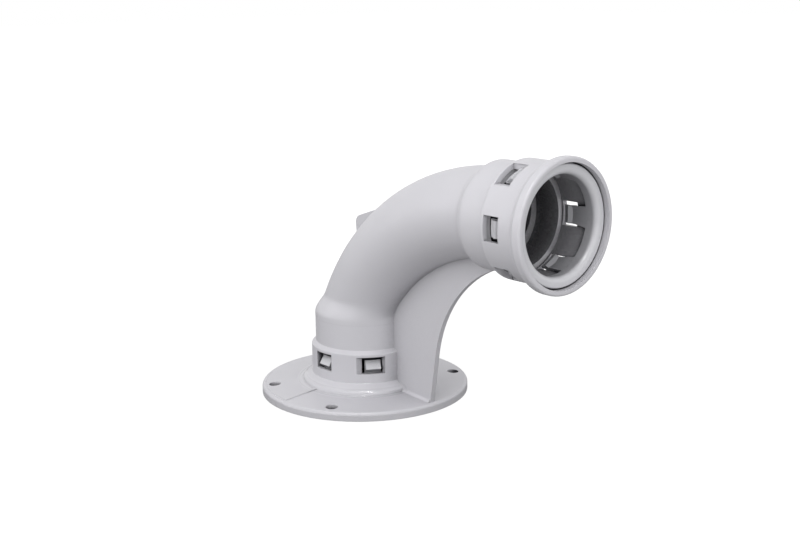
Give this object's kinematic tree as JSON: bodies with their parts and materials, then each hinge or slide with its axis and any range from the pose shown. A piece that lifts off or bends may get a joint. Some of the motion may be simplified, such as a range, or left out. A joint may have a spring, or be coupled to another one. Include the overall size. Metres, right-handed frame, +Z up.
{
  "type": "flanged snap-lock pipe elbow",
  "caption": "Grey moulded right-angle pipe elbow with a round bolted flange, snap-in grip rings in its sockets, barb windows and a stiffening web.",
  "frame": {"origin": "middle of the flange underside, on the axis of the upright socket", "axes": "+Z up along the upright socket, +X out of the level mouth, the web lies in the XZ plane"},
  "size_m": [0.2209, 0.124, 0.1562],
  "materials": {
    "body_plastic": "satin light grey moulded plastic",
    "ring_plastic": "satin light grey moulded plastic"
  },
  "bodies": {
    "root": {"elbow_body": "body_plastic", "base_ring": "ring_plastic", "mouth_ring": "ring_plastic"}
  },
  "joints": []
}
